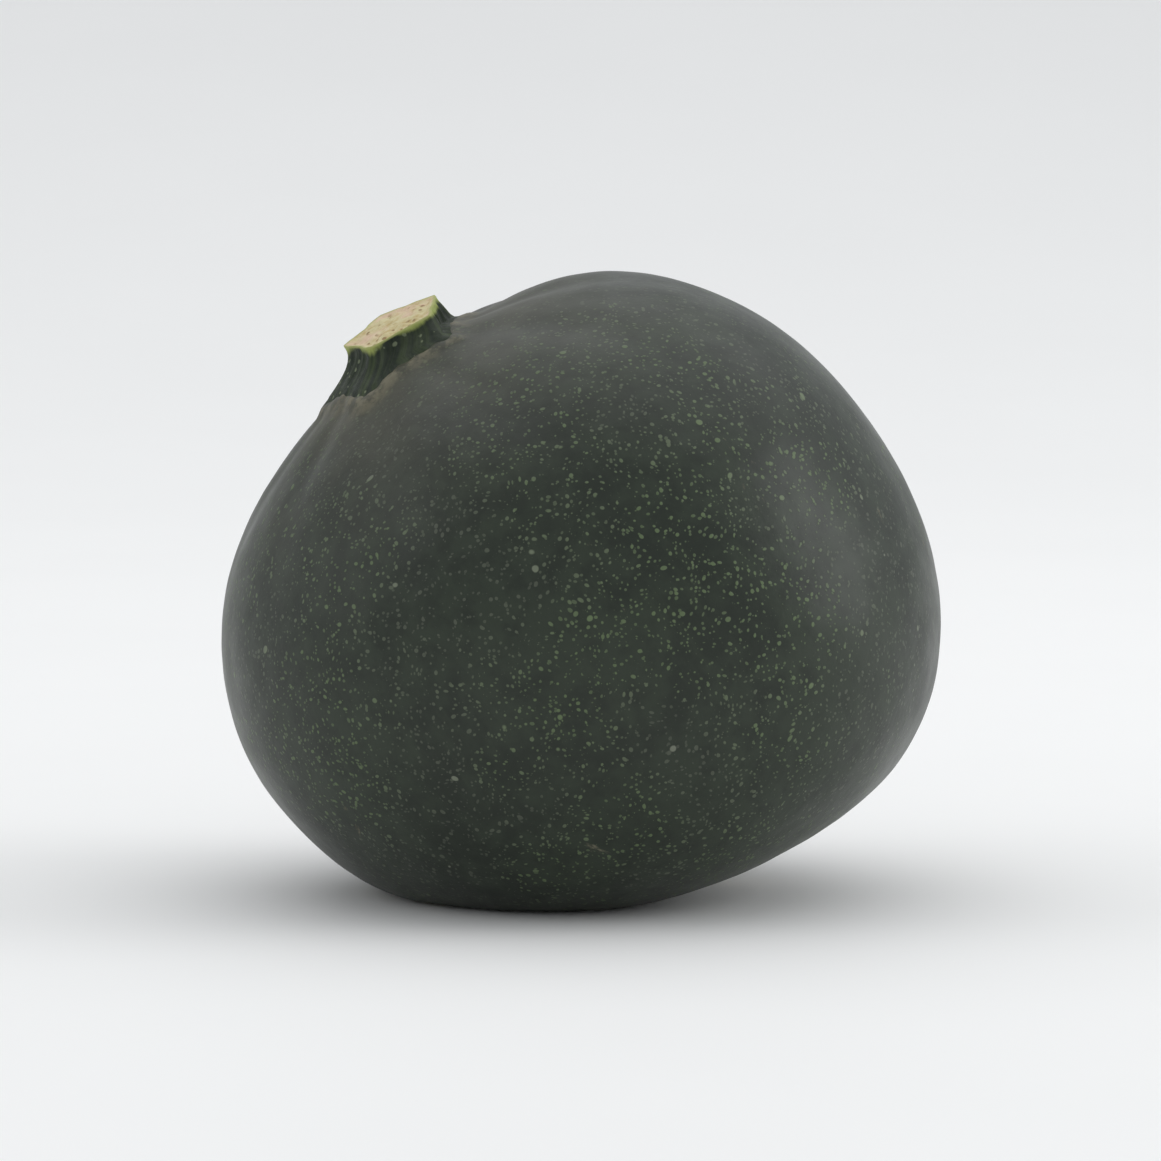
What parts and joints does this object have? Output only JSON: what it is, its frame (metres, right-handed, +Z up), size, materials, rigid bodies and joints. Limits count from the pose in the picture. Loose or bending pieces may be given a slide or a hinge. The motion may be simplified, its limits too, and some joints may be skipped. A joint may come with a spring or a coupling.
{
  "type": "gem squash",
  "caption": "Round, almost black green gem squash with the short star-shaped cut stub of its stem, lying on a small flat spot.",
  "frame": {"origin": "the middle of the flat spot that the fruit lies on, level with the surface under it", "axes": "+Z up from that surface; the core, from blossom end to stem, leans 34 degrees towards -X and 8 degrees towards -Y"},
  "size_m": [0.0825, 0.0825, 0.071],
  "materials": {
    "rind": "satin",
    "stem": "matte"
  },
  "bodies": {
    "root": {"fruit": "rind", "stem": "stem"}
  },
  "joints": []
}
